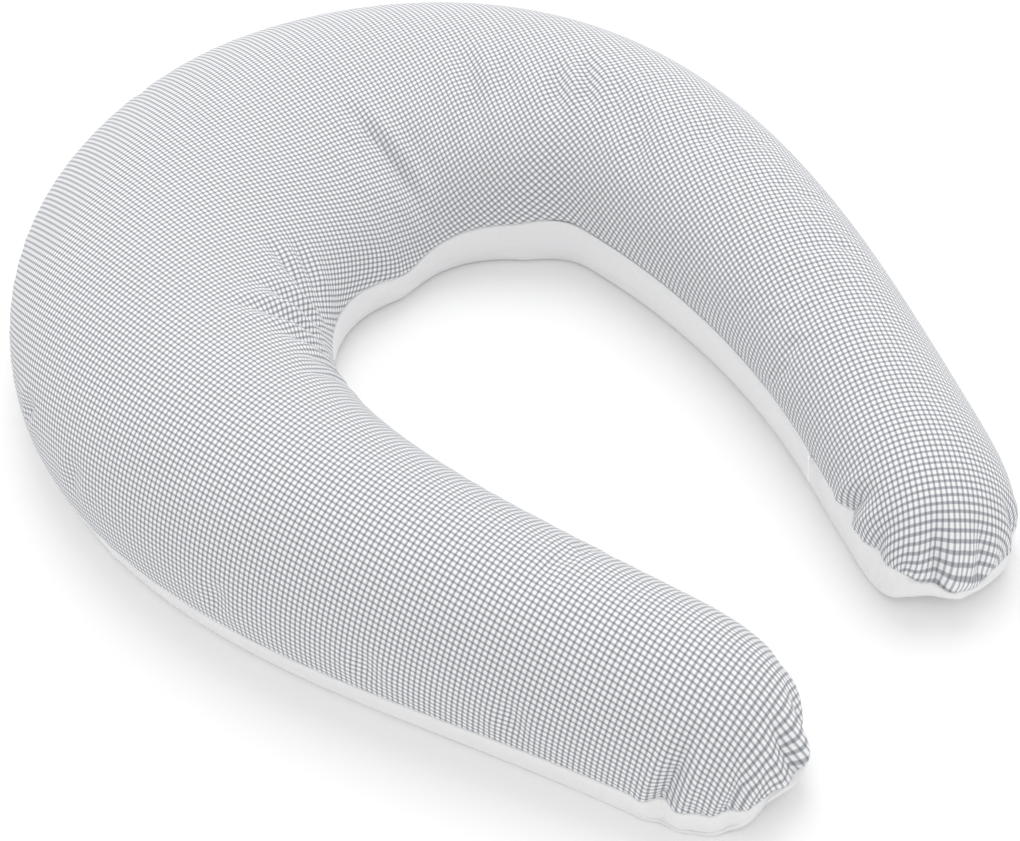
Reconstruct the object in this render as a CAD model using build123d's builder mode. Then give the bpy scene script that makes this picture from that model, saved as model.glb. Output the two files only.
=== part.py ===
# C-shaped nursing pillow lying on its underside, in millimetres, +Z up.
# The origin is on the floor under the middle of the overall box. The mouth of the C opens
# towards -Y and the wide back is at +Y. Stations run along the centre line from the tip of the
# left arm (-X) round the back to the tip of the right arm (+X).
from build123d import *
import math
import os

os.makedirs("parts", exist_ok=True)

# ---- the centre line: its bend in degrees per 100 mm, at 0, 1/3, 2/3 and the end of each arm
arm_length = {"left": 872.0, "right": 870.0}
arm_bend = {"left": (25.5, 19.4, 5.2, 2.8), "right": (25.5, 21.4, 5.9, 1.3)}
back_centre = (25.0, 290.7)             # middle of the back, on the centre line

# ---- the section along each arm, from the middle of the back to the tip
inner_width_along = {"left": (170.0, 113.0, 74.4, 48.5), "right": (170.0, 122.0, 67.0, 56.0)}
outer_width_along = {"left": (155.0, 118.0, 84.0, 86.0), "right": (155.0, 78.0, 69.0, 85.0)}
height_along = (137.0, 147.0, 101.0)
inner_seam_along = {"left": (32.0, 50.0, 45.0), "right": (32.0, 54.5, 51.0)}
outer_seam_along = (36.6, 28.5, 23.5)
back_ease = 70.0                        # rounds these curves over the middle of the back
inner_undercut = 11.0                   # how far the underside draws in from the seam to the floor
outer_undercut = 17.0
tip_rounding = 110.0                    # length over which the arm rounds off to its tip
tip_clearance = 2.4                     # inner layers end this many times their gap further in
tip_blunt = 0.416                       # width of the flat end of the tip, of the full width

# ---- layers, from outside to inside
cloth = 0.8                             # cover and casing cloth, drawn thicker than the real 0.3
cover_gap = 2.6                         # cover to inner casing
fill_gap = 1.4                          # inner casing to fibre
casing_inset = cloth + cover_gap
fill_inset = casing_inset + cloth + fill_gap
skirt = 4.0                             # how far a cutting body runs past the seam

# ---- the zip: everything on it is concentric about one upright axis
zip_centre = (-490.3, 1.2)
zip_radius = 638.2                      # the seam line itself
zip_height = 54.5
zip_closed = -25.3                      # degrees about the axis, slider at the closed end
zip_open = 2.1                          # slider at the open end
zip_room = 4.0                          # extra room for it between cover and casing
zip_blend = 90.0                        # length over which that room fades away
slot_height = 2.2                       # gap between the two folded cover edges
slot_overrun = 0.8                      # degrees of slot past each end of the travel

tape_depth = (2.05, 2.55)               # front and back face, behind the seam line
tape_edge = 0.65                        # half the gap between the two tapes
tape_width = 8.4
tape_tail = 1.7                         # degrees of tape past the stops
coil_depth = (2.55, 4.35)
coil_height = 1.6
stitch_line = 6.4                       # stitching above and below the zip's middle
thread_radius = 0.25

slider_length = 10.0
plate_depth = (1.25, 1.85)              # the slider's front plate
shell_depth = (4.65, 5.5)               # its back plate
slider_height = 7.2
flange = 0.85                           # wall that keeps the coils together
post_thickness = 0.8
leg_height = 1.4
bar_depth = -2.4                        # the pull's bar stands in front of the seam line
bar_radius = 0.5
bar_half = 1.6                          # half the clear length between the legs
leg_length = 1.3

pull_length = 26.0
pull_top_width = 1.9
pull_foot_width = 3.2
pull_thickness = 1.0
eye_radius = 1.2
eye_bore = 0.56
eye_half = 1.3

seam_thread_radius = 0.4
casing_thread_radius = 0.3
seam_thread_inset = 1.75                # behind the cover's outer face
casing_thread_inset = 4.95

stations = 24                           # per arm along the body
tip_stations = 7                        # per arm round the tip
quarter = 0.5523                        # handle length that makes a quarter-round


def through(values, u):
    """The smooth curve through evenly spaced values, at u from 0 to 1."""
    last = len(values) - 1
    total = 0.0
    for i, value in enumerate(values):
        term = value
        for j in range(len(values)):
            if j != i:
                term *= (u * last - j) / (i - j)
        total += term
    return total


def walk(side, distance):
    """Position and heading (degrees) on one arm's centre line, at a distance from the back."""
    sign = -1 if side == "left" else 1
    steps = max(2, int(distance / 4))
    step = distance / steps
    x, y = back_centre
    turn = 0.0
    for i in range(steps):
        u = (i + 0.5) * step / arm_length[side]
        bend = math.radians(through(arm_bend[side], u)) / 100
        turn += bend * step / 2
        x += sign * math.cos(turn) * step
        y -= math.sin(turn) * step
        turn += bend * step / 2
    return x, y, sign * -math.degrees(turn)


def eased(distance):
    """The distance, but level at the middle of the back, so that nothing has a kink there."""
    return math.hypot(distance, back_ease) - back_ease


def smooth(edge_low, edge_high, value):
    t = min(1.0, max(0.0, (value - edge_low) / (edge_high - edge_low)))
    return t * t * (3 - 2 * t)


class Station:
    """One cross-section: where it stands and how wide and high the pillow is there."""

    def __init__(self, side, distance, inset=0.0):
        self.x, self.y, self.heading = walk(side, distance)
        length = arm_length[side] - tip_clearance * inset
        u = eased(distance) / eased(length)
        past = max(0.0, (distance - (length - tip_rounding)) / tip_rounding)
        cap = math.sqrt(max(0.0, 1 - (1 - tip_blunt**2) * past**2.6))
        self.height = through(height_along, u) * cap**0.8 - inset
        self.seam_in = through(inner_seam_along[side], u) * cap**0.3
        self.seam_out = through(outer_seam_along, u) * cap**0.3
        into = through(inner_width_along[side], u) * cap
        self.out = through(outer_width_along[side], u) * cap - inset
        self.into = into - inset
        self.floor = inset
        self.draw_in = inner_undercut * cap
        self.draw_out = outer_undercut * cap
        if side == "right":
            zip_share = self.zip_share(distance)
            seam_line = self.reach_to_zip()
            self.into += (seam_line - into) * zip_share
            self.seam_in += (zip_height - self.seam_in) * zip_share
            if inset >= casing_inset:
                self.into -= zip_room * zip_share

    def zip_share(self, distance):
        """1 along the zip, fading to 0 past its ends."""
        start, end = 385.0, 745.0
        rising = smooth(start - zip_blend, start, distance)
        return rising * (1 - smooth(end, end + zip_blend / 2, distance))

    def reach_to_zip(self):
        """Distance from the centre line to the zip's circle, square to the centre line."""
        angle = math.radians(self.heading)
        nx, ny = math.sin(angle), -math.cos(angle)
        dx, dy = self.x - zip_centre[0], self.y - zip_centre[1]
        along = dx * nx + dy * ny
        return -along - math.sqrt(max(0.0, along**2 - (dx * dx + dy * dy - zip_radius**2)))

    def plane(self):
        """Local x towards the mouth, local y up."""
        angle = math.radians(self.heading)
        return Plane(
            origin=(self.x, self.y, 0),
            x_dir=(math.sin(angle), -math.cos(angle), 0),
            z_dir=(-math.cos(angle), -math.sin(angle), 0),
        )

    def crown(self):
        """The upper edge: two quarter-rounds, from the inner seam over to the outer seam."""
        inner, outer, top = (self.into, self.seam_in), (-self.out, self.seam_out), (0, self.height)
        rise_in = (self.into, self.seam_in + quarter * (self.height - self.seam_in))
        rise_out = (-self.out, self.seam_out + quarter * (self.height - self.seam_out))
        Bezier(inner, rise_in, (quarter * self.into, self.height), top)
        Bezier(top, (-quarter * self.out, self.height), rise_out, outer)
        return inner, outer

    def underside(self):
        """The lower edge: a quarter-round from each seam down to the flat on the floor."""
        ends = []
        edges = ((1, self.into, self.seam_in, self.draw_in), (-1, self.out, self.seam_out, self.draw_out))
        for side_x, reach, seam, draw in edges:
            foot = (side_x * (reach - draw), self.floor)
            Bezier(
                (side_x * reach, seam),
                (side_x * reach, seam - quarter * (seam - self.floor)),
                (side_x * (reach - draw * (1 - quarter)), self.floor),
                foot,
            )
            ends.append(foot)
        Line(*ends)


def arm_distances(side, end_inset):
    """Where the sections stand on one arm: even along the body, closer round the tip."""
    length = arm_length[side] - tip_clearance * end_inset
    body = length - tip_rounding
    along = [body * i / stations for i in range(stations)]
    tip = [length - tip_rounding * math.cos(math.pi / 2 * i / tip_stations) for i in range(tip_stations + 1)]
    return along + tip


def sections(inset=0.0):
    """Every station of the pillow, from the left tip to the right tip."""
    left = [Station("left", d, inset) for d in reversed(arm_distances("left", inset))]
    right = [Station("right", d, inset) for d in arm_distances("right", inset)[1:]]
    return left + right


def crown_face(station, below):
    """The section of the upper half, closed by the seam chord or by a skirt below it."""
    with BuildSketch(station.plane()) as face:
        with BuildLine():
            inner, outer = station.crown()
            if below:
                Polyline(outer, (outer[0], outer[1] - below), (inner[0], inner[1] - below), inner)
            else:
                Line(outer, inner)
        make_face()
    return face.sketch


def underside_face(station, above):
    """The section of the lower half, closed by the seam chord or by a skirt above it."""
    inner, outer = (station.into, station.seam_in), (-station.out, station.seam_out)
    with BuildSketch(station.plane()) as face:
        with BuildLine():
            station.underside()
            if above:
                Polyline(outer, (outer[0], outer[1] + above), (inner[0], inner[1] + above), inner)
            else:
                Line(outer, inner)
        make_face()
    return face.sketch


def whole_face(station):
    """The full section, for the filling."""
    with BuildSketch(station.plane()) as face:
        with BuildLine():
            station.crown()
            station.underside()
        make_face()
    return face.sketch


def lofted(face_of, inset, extra=None):
    """A body lofted through every station at one inset."""
    faces = []
    for station in sections(inset):
        faces.append(face_of(station) if extra is None else face_of(station, extra))
    return loft(faces, ruled=True, mode=Mode.PRIVATE)


def zip_plane(angle):
    """Square to the zip at an angle about its axis: local x is the radius, local y is up."""
    a = math.radians(angle)
    return Plane(
        origin=(*zip_centre, 0),
        x_dir=(math.cos(a), math.sin(a), 0),
        z_dir=(math.sin(a), -math.cos(a), 0),
    )


def zip_bar(depths, heights, start, end):
    """A bar of rectangular section that follows the zip; depths are behind the seam line."""
    with BuildSketch(zip_plane(start)) as profile:
        with Locations((zip_radius + sum(depths) / 2, zip_height + sum(heights) / 2)):
            Rectangle(depths[1] - depths[0], abs(heights[1] - heights[0]))
    revolve(profile.sketch, axis=zip_axis, revolution_arc=end - start)


def degrees_of(length):
    return math.degrees(length / zip_radius)


zip_axis = Axis((*zip_centre, 0), (0, 0, 1))
half_slider = degrees_of(slider_length / 2)
coil_start = zip_closed - half_slider - 0.04
coil_end = zip_open + half_slider + 0.04

# ---- the cover: a patterned top panel and a plain underside, open along the zip
with BuildPart() as zip_slot:
    zip_bar(
        (-8, 1.6),
        (-slot_height / 2, slot_height / 2),
        zip_closed - slot_overrun,
        zip_open + slot_overrun,
    )

with BuildPart() as cover_top_panel:
    add(lofted(crown_face, 0, 0))
    add(lofted(crown_face, cloth, skirt), mode=Mode.SUBTRACT)
    add(zip_slot.part, mode=Mode.SUBTRACT)

with BuildPart() as cover_bottom_panel:
    add(lofted(underside_face, 0, 0))
    add(lofted(underside_face, cloth, skirt), mode=Mode.SUBTRACT)
    add(zip_slot.part, mode=Mode.SUBTRACT)

# ---- the inner casing and its filling
with BuildPart() as casing_top_panel:
    add(lofted(crown_face, casing_inset, 0))
    add(lofted(crown_face, casing_inset + cloth, skirt), mode=Mode.SUBTRACT)

with BuildPart() as casing_bottom_panel:
    add(lofted(underside_face, casing_inset, 0))
    add(lofted(underside_face, casing_inset + cloth, skirt), mode=Mode.SUBTRACT)

with BuildPart() as fibre_filling:
    add(lofted(whole_face, fill_inset))

# ---- the zip's two tapes, two coils and the stitching that holds the tapes to the cover
tape_start, tape_end = coil_start - tape_tail, coil_end + tape_tail

with BuildPart() as zip_tape_upper:
    zip_bar(tape_depth, (tape_edge, tape_edge + tape_width), tape_start, tape_end)

with BuildPart() as zip_tape_lower:
    zip_bar(tape_depth, (-tape_edge - tape_width, -tape_edge), tape_start, tape_end)

with BuildPart() as zip_coil_upper:
    zip_bar(coil_depth, (tape_edge, tape_edge + coil_height), coil_start, coil_end)

with BuildPart() as zip_coil_lower:
    zip_bar(coil_depth, (-tape_edge - coil_height, -tape_edge), coil_start, coil_end)


def zip_thread(side):
    """A line of stitching that lies on the back of one tape."""
    clear = 0.02
    radius = zip_radius + tape_depth[1] + thread_radius + clear
    with BuildSketch(zip_plane(tape_start)) as profile:
        with Locations((radius, zip_height + side * stitch_line)):
            Circle(thread_radius)
    revolve(profile.sketch, axis=zip_axis, revolution_arc=tape_end - tape_start)


with BuildPart() as zip_stitching_upper:
    zip_thread(1)

with BuildPart() as zip_stitching_lower:
    zip_thread(-1)

# ---- stops: one on each coil at the closed end, one across both at the open end
stop_length = degrees_of(2.2)
stop_top = tape_edge + coil_height + 0.15

with BuildPart() as zip_top_stops:
    for side in (1, -1):
        heights = (side * (tape_edge - 0.1), side * stop_top)
        zip_bar(coil_depth, heights, coil_start - stop_length, coil_start)

with BuildPart() as zip_bottom_stop:
    zip_bar(coil_depth, (-stop_top, stop_top), coil_end, coil_end + stop_length)

# ---- the slider: front plate, post, back plate, flanges, and the legs and bar for the pull
slider_start, slider_end = zip_closed - half_slider, zip_closed + half_slider
half_height = slider_height / 2
half_post = degrees_of(1.8)
leg_inside, leg_outside = degrees_of(bar_half), degrees_of(bar_half + leg_length)


def slider_plane(depth):
    """Square to the radius at the closed end: local x runs along the zip, local y is up."""
    a = math.radians(zip_closed)
    reach = zip_radius + depth
    return Plane(
        origin=(zip_centre[0] + reach * math.cos(a), zip_centre[1] + reach * math.sin(a), zip_height),
        x_dir=(math.sin(a), -math.cos(a), 0),
        z_dir=(-math.cos(a), -math.sin(a), 0),
    )


def along_zip(depth):
    """Square to the zip at the closed end, on the pull's bar: the normal runs along the zip."""
    a = math.radians(zip_closed)
    reach = zip_radius + depth
    return Plane(
        origin=(zip_centre[0] + reach * math.cos(a), zip_centre[1] + reach * math.sin(a), zip_height),
        x_dir=(math.cos(a), math.sin(a), 0),
        z_dir=(-math.sin(a), math.cos(a), 0),
    )


with BuildPart() as zip_slider:
    zip_bar(plate_depth, (-half_height, half_height), slider_start, slider_end)
    zip_bar(shell_depth, (-half_height, half_height), slider_start, slider_end)
    zip_bar(
        (plate_depth[1], shell_depth[0]),
        (-post_thickness / 2, post_thickness / 2),
        zip_closed - half_post,
        zip_closed + half_post,
    )
    for side in (1, -1):
        heights = (side * (half_height - flange), side * half_height)
        zip_bar((tape_depth[1] + 0.3, shell_depth[0]), heights, slider_start, slider_end)
        near, far = zip_closed + side * leg_inside, zip_closed + side * leg_outside
        zip_bar(
            (bar_depth - bar_radius, plate_depth[0]),
            (-leg_height / 2, leg_height / 2),
            min(near, far),
            max(near, far),
        )
    with BuildSketch(along_zip(bar_depth)):
        Circle(bar_radius)
    extrude(amount=bar_half + leg_length / 2, both=True)

# ---- the pull: a thin tapered tab that hangs from an eye round the bar
with BuildPart() as zip_pull_tab:
    with BuildSketch(slider_plane(bar_depth)):
        with BuildLine():
            foot = -pull_length + pull_foot_width / 2
            Line((-pull_top_width / 2, -0.3), (pull_top_width / 2, -0.3))
            Line((pull_top_width / 2, -0.3), (pull_foot_width / 2, foot))
            ThreePointArc(
                (pull_foot_width / 2, foot), (0, -pull_length), (-pull_foot_width / 2, foot)
            )
            Line((-pull_foot_width / 2, foot), (-pull_top_width / 2, -0.3))
        make_face()
    extrude(amount=pull_thickness / 2, both=True)
    with BuildSketch(along_zip(bar_depth)):
        Circle(eye_radius)
    extrude(amount=eye_half, both=True)
    with BuildSketch(along_zip(bar_depth)):
        Circle(eye_bore)
    extrude(amount=eye_half + 1, both=True, mode=Mode.SUBTRACT)

# ---- the seam thread: straight runs and tangent arcs, just inside the cover's seam
thread_bend = 3.0
shortest_run = 6.0


def seam_points(side, edge, inset, start=0.0, end=1000.0):
    """Points along one arm's seam, on its inner or outer edge, between two distances."""
    points = []
    for distance in arm_distances(side, inset):
        if start <= distance <= end:
            station = Station(side, distance, inset)
            local = (station.into, station.seam_in)
            if edge == "outer":
                local = (-station.out, station.seam_out)
            points.append(station.plane().from_local_coords(local))
    return points


def thread_path(points):
    """A route through the points, without its shortest runs, so that every arc has room."""
    route = [points[0]]
    for point in points[1:]:
        if (point - route[-1]).length > shortest_run:
            route.append(point)
    return FilletPolyline(*route, radius=thread_bend)


zip_from, zip_to = 378.0, 755.0         # distances between which the zip takes the seam's place
inset = seam_thread_inset
cover_route = seam_points("right", "inner", inset, start=zip_to)
cover_route += reversed(seam_points("right", "outer", inset))
cover_route += seam_points("left", "outer", inset, start=1)
cover_route += reversed(seam_points("left", "inner", inset))
cover_route += seam_points("right", "inner", inset, start=1, end=zip_from)
cover_path = thread_path(cover_route)

with BuildPart() as cover_seam_thread:
    with BuildSketch(Plane(origin=cover_path @ 0, z_dir=cover_path % 0)):
        Circle(seam_thread_radius)
    sweep(path=cover_path)

closing_half = 85.0                     # half the length that is sewn shut after filling
inset = casing_thread_inset
casing_route = seam_points("right", "outer", inset, start=closing_half)
casing_route += reversed(seam_points("right", "inner", inset))
casing_route += seam_points("left", "inner", inset, start=1)
casing_route += reversed(seam_points("left", "outer", inset, start=closing_half))
casing_path = thread_path(casing_route)

with BuildPart() as casing_seam_thread:
    with BuildSketch(Plane(origin=casing_path @ 0, z_dir=casing_path % 0)):
        Circle(casing_thread_radius)
    sweep(path=casing_path)

closing_route = list(reversed(seam_points("right", "outer", inset, end=closing_half)))
closing_route += seam_points("left", "outer", inset, start=1, end=closing_half)
closing_path = thread_path(closing_route)

with BuildPart() as casing_closing_thread:
    with BuildSketch(Plane(origin=closing_path @ 0, z_dir=closing_path % 0)):
        Circle(casing_thread_radius)
    sweep(path=closing_path)

# ---- the care label, blank, sewn in by the zip and lying on the cover's underside panel
label_size = (32.0, 46.0, 0.4)
label_angle = -13.0
label_depth = 38.0                      # behind the seam line

with BuildPart() as care_label:
    with BuildSketch(Plane.XY.offset(cloth + 0.6)):
        a = math.radians(label_angle)
        reach = zip_radius + label_depth
        with Locations((zip_centre[0] + reach * math.cos(a), zip_centre[1] + reach * math.sin(a))):
            Rectangle(label_size[0], label_size[1], rotation=label_angle)
    extrude(amount=label_size[2])

pieces = {
    "cover_top_panel": cover_top_panel,
    "cover_bottom_panel": cover_bottom_panel,
    "cover_seam_thread": cover_seam_thread,
    "care_label": care_label,
    "zip_tape_upper": zip_tape_upper,
    "zip_tape_lower": zip_tape_lower,
    "zip_coil_upper": zip_coil_upper,
    "zip_coil_lower": zip_coil_lower,
    "zip_stitching_upper": zip_stitching_upper,
    "zip_stitching_lower": zip_stitching_lower,
    "zip_top_stops": zip_top_stops,
    "zip_bottom_stop": zip_bottom_stop,
    "zip_slider": zip_slider,
    "zip_pull_tab": zip_pull_tab,
    "casing_top_panel": casing_top_panel,
    "casing_bottom_panel": casing_bottom_panel,
    "casing_seam_thread": casing_seam_thread,
    "casing_closing_thread": casing_closing_thread,
    "fibre_filling": fibre_filling,
}

for node, piece in pieces.items():
    piece.part.label = node
    export_step(piece.part, f"parts/{node}.step")
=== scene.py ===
import math

import bmesh
import bpy
import numpy as np
from mathutils import Matrix, Vector


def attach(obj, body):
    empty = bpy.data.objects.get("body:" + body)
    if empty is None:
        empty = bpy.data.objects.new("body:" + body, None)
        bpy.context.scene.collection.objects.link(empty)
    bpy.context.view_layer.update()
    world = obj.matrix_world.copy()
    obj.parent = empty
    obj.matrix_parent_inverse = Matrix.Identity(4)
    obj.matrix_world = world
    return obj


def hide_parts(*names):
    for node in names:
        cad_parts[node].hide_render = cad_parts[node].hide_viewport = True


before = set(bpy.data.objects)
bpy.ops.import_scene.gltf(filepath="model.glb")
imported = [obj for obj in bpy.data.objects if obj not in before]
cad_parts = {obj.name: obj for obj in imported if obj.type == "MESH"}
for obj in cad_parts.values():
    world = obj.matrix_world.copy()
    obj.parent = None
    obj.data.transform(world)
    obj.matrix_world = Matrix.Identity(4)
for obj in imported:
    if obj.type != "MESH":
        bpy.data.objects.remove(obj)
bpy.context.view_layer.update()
scene = bpy.context.scene


def nodeTree(name):
    material = bpy.data.materials.new(name)
    material.use_nodes = True
    material.node_tree.nodes.clear()
    return material, material.node_tree


def node(tree, kind, values=None, **settings):
    n = tree.nodes.new(kind)
    for key, value in settings.items():
        setattr(n, key, value)
    for key, value in (values or {}).items():
        n.inputs[key].default_value = value
    return n


def maths(tree, operation, a, b=None, clamp=False):
    n = node(tree, "ShaderNodeMath", operation=operation, use_clamp=clamp)
    for index, value in enumerate((a, b)):
        if value is None:
            continue
        if isinstance(value, (int, float)):
            n.inputs[index].default_value = value
        else:
            tree.links.new(value, n.inputs[index])
    return n.outputs[0]


# the pillow's line and sections, in metres, as the frame has them
pillow = {
    "armLength": {"left": 0.872, "right": 0.870},
    "armBend": {"left": (25.5, 19.4, 5.2, 2.8), "right": (25.5, 21.4, 5.9, 1.3)},  # degrees per 100 mm
    "backCentre": (0.0250, 0.2907),
    "innerWidth": {"left": (0.170, 0.113, 0.0744, 0.0485), "right": (0.170, 0.122, 0.067, 0.056)},
    "outerWidth": {"left": (0.155, 0.118, 0.084, 0.086), "right": (0.155, 0.078, 0.069, 0.085)},
    "height": (0.137, 0.147, 0.101),
    "innerSeam": {"left": (0.032, 0.050, 0.045), "right": (0.032, 0.0545, 0.051)},
    "outerSeam": (0.0366, 0.0285, 0.0235),
    "backEase": 0.070,        # rounds the curves over the middle of the back
    "innerUndercut": 0.011,
    "outerUndercut": {"left": (0.015, 0.009, -0.003), "right": (0.017, 0.015, 0.010)},
    "tipRounding": 0.110,
    "tipBlunt": 0.416,
    "tipSoftness": 2.6,       # how late the arms narrow towards their tips
    "tipHeight": 0.8,         # how far the height and the seams follow that narrowing
    "tipSeams": 0.3,
    "tipBow": 0.016,          # how far the corners of the tips are drawn back
    "tipClosing": 0.046,      # the last stretch, where the top comes down to the seam
    "underTurn": 0.27 * math.pi,              # over which the underside turns down from each seam
    "rows": 264,              # along the line
    "tipRows": (1.6, 0.050),  # how much closer the rows stand at the tips, and over what length
    "columns": 48,            # across each panel
    "seamColumns": 0.055,     # how much closer the columns stand at the seams
}

zipper = {
    "centre": (-0.4903, 0.0012),
    "radius": 0.6382,
    "height": 0.0545,
    "start": 0.385,           # distance along the right arm
    "end": 0.745,
    "blend": 0.090,
    "gap": 0.0011,            # half the gap between the two folded edges
    "stitchLine": 0.0064,     # from the middle of the zip to each line of stitching
    "foldDepth": 0.0007,
    "foldWidth": 0.0016,
    "foldSwell": 0.6,         # of the strip between the fold and the zip, against the fold's depth
    "stitchLift": 0.0001,     # how far the outside stitches stand off the cloth
    "stitchDepth": 0.0028,    # how far the inside ones lie behind the zip's line
    "coilDepth": 0.00345,
    "coilLift": 0.00145,      # from the middle of the zip to the middle of each coil
    "tapeDegrees": (-27.4, 4.2),              # about the zip's centre
    "coilDegrees": (-25.79, 2.58),
}


def through(values, u):      # the smooth curve through evenly spaced values
    last = len(values) - 1
    total = 0.0
    for i, value in enumerate(values):
        term = value
        for j in range(len(values)):
            if j != i:
                term = term * (u * last - j) / (i - j)
        total = total + term
    return total


def smooth(low, high, value):
    t = np.clip((value - low) / (high - low), 0, 1)
    return t * t * (3 - 2 * t)


def centreLine(s):            # place and heading at distances from the back, negative on the left arm
    x, y, heading = np.zeros_like(s), np.zeros_like(s), np.zeros_like(s)
    steps = 900
    for side, sign in (("left", -1), ("right", 1)):
        length = pillow["armLength"][side]
        step = length / steps
        middle = (np.arange(steps) + 0.5) / steps
        bend = np.radians(through(pillow["armBend"][side], middle)) * 10
        turn = np.concatenate(([0], np.cumsum(bend * step)))
        half = (turn[1:] + turn[:-1]) / 2
        px = pillow["backCentre"][0] + np.concatenate(([0], np.cumsum(sign * np.cos(half) * step)))
        py = pillow["backCentre"][1] - np.concatenate(([0], np.cumsum(np.sin(half) * step)))
        along = np.linspace(0, length, steps + 1)
        here = s < 0 if sign < 0 else s >= 0
        distance = np.abs(s[here])
        x[here] = np.interp(distance, along, px)
        y[here] = np.interp(distance, along, py)
        heading[here] = np.interp(distance, along, -sign * turn)
    return x, y, heading


def sections(s):              # every measure of the sections at distances s
    x, y, heading = centreLine(s)
    length = np.where(s < 0, pillow["armLength"]["left"], pillow["armLength"]["right"])
    distance = np.abs(s)
    ease = pillow["backEase"]
    u = (np.hypot(distance, ease) - ease) / (np.hypot(length, ease) - ease)
    past = np.clip((distance - length + pillow["tipRounding"]) / pillow["tipRounding"], 0, 1)
    cap = np.sqrt(1 - (1 - pillow["tipBlunt"] ** 2) * past ** pillow["tipSoftness"])
    byArm = lambda curves: np.where(s < 0, through(curves["left"], u), through(curves["right"], u))
    into = byArm(pillow["innerWidth"]) * cap
    seamIn = byArm(pillow["innerSeam"]) * cap ** pillow["tipSeams"]
    side = np.stack([np.sin(heading), -np.cos(heading)], -1)     # towards the mouth
    share = smooth(zipper["start"] - zipper["blend"], zipper["start"], s)
    share = share * (1 - smooth(zipper["end"], zipper["end"] + zipper["blend"] / 2, s))
    dx, dy = x - zipper["centre"][0], y - zipper["centre"][1]
    along = dx * side[:, 0] + dy * side[:, 1]
    reach = -along - np.sqrt(np.maximum(0, along ** 2 - (dx * dx + dy * dy - zipper["radius"] ** 2)))
    into = into + (reach - into) * share
    seamIn = seamIn + (zipper["height"] - seamIn) * share
    closing = np.clip(1 - (length - distance) / pillow["tipClosing"], 0, 1)
    return {
        "x": x, "y": y, "side": side, "zip": share,
        "into": into, "out": byArm(pillow["outerWidth"]) * cap,
        "height": through(pillow["height"], u) * cap ** pillow["tipHeight"],
        "seamIn": seamIn, "seamOut": through(pillow["outerSeam"], u) * cap ** pillow["tipSeams"],
        "drawIn": pillow["innerUndercut"] * cap, "drawOut": byArm(pillow["outerUndercut"]) * cap,
        "bow": np.sign(s) * pillow["tipBow"] * past ** 3,
        "open": np.sqrt(1 - closing ** 2.3),                      # 1 along the arms, 0 at the very tips
    }


def placed(sec, across, up):  # points from their place across the section and their height
    half = ((sec["into"] + sec["out"]) / 2)[:, None]
    middle = ((sec["into"] - sec["out"]) / 2)[:, None]
    back = sec["bow"][:, None] * ((across - middle) / half) ** 2
    return np.stack([
        sec["x"][:, None] + sec["side"][:, 0:1] * across + sec["side"][:, 1:2] * back,
        sec["y"][:, None] + sec["side"][:, 1:2] * across - sec["side"][:, 0:1] * back,
        up,
    ], -1)


def seamLevel(sec, across):   # the height of a straight chord between the two seams
    share = (across + sec["out"][:, None]) / (sec["into"] + sec["out"])[:, None]
    return sec["seamOut"][:, None] + (sec["seamIn"] - sec["seamOut"])[:, None] * share


def topPoints(sec, phi):      # phi runs from 0 at the inner seam over to pi at the outer seam
    c, r = np.cos(phi)[None, :], np.sin(phi)[None, :]
    across = np.where(c > 0, sec["into"][:, None] * c, sec["out"][:, None] * c)
    seam = np.where(c > 0, sec["seamIn"][:, None], sec["seamOut"][:, None])
    crown = seam + (sec["height"][:, None] - seam) * r
    level = seamLevel(sec, across)
    return placed(sec, across, level + (crown - level) * sec["open"][:, None])


def bottomPoints(sec, phi):   # the same, down round the underside and along the floor
    turn = pillow["underTurn"]
    a = np.clip(np.minimum(phi, math.pi - phi) / turn, 0, 1)[None, :] * math.pi / 2
    inner = (phi < math.pi / 2)[None, :]
    reach = np.where(inner, sec["into"][:, None], -sec["out"][:, None])
    seam = np.where(inner, sec["seamIn"][:, None], sec["seamOut"][:, None])
    draw = np.where(inner, sec["drawIn"][:, None], -sec["drawOut"][:, None])
    rounded = reach - draw * (1 - np.cos(a))
    flat = np.clip((phi - turn) / (math.pi - 2 * turn), 0, 1)[None, :]
    footIn = (sec["into"] - sec["drawIn"])[:, None]
    footOut = -(sec["out"] - sec["drawOut"])[:, None]
    across = np.where(a < math.pi / 2, rounded, footIn + (footOut - footIn) * flat)
    level = seamLevel(sec, across)
    up = seam * (1 - np.sin(a))
    return placed(sec, across, level + (up - level) * sec["open"][:, None])


def finer(grid):              # twice the rows and columns, smooth through the same points
    for axis in (0, 1):
        g = np.moveaxis(grid, axis, 0)
        before = np.concatenate([2 * g[:1] - g[1:2], g[:-2]])
        after = np.concatenate([g[2:], 2 * g[-1:] - g[-2:-1]])
        middle = (9 * (g[:-1] + g[1:]) - before - after) / 16
        result = np.empty((2 * len(g) - 1,) + g.shape[1:])
        result[0::2], result[1::2] = g, middle
        grid = np.moveaxis(result, 0, axis)
    return grid


def normalsOf(grid):
    n = np.cross(np.gradient(grid, axis=0), np.gradient(grid, axis=1))
    return n / (np.linalg.norm(n, axis=-1, keepdims=True) + 1e-12)


def rowPlaces():              # distances of the rows, closer together round the tips
    low, high = -pillow["armLength"]["left"], pillow["armLength"]["right"]
    s = np.linspace(low, high, 4001)
    toTip = np.minimum(s - low, high - s)
    closer, length = pillow["tipRows"]
    density = 1 + closer * np.exp(-toTip / length)
    total = np.concatenate(([0], np.cumsum((density[1:] + density[:-1]) / 2)))
    return np.interp(np.linspace(0, total[-1], pillow["rows"] + 1), total, s)


def columnPlaces():           # closer together beside the seams
    t = np.linspace(0, 1, pillow["columns"] + 1)
    return math.pi * (t - pillow["seamColumns"] * np.sin(2 * math.pi * t))


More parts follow.
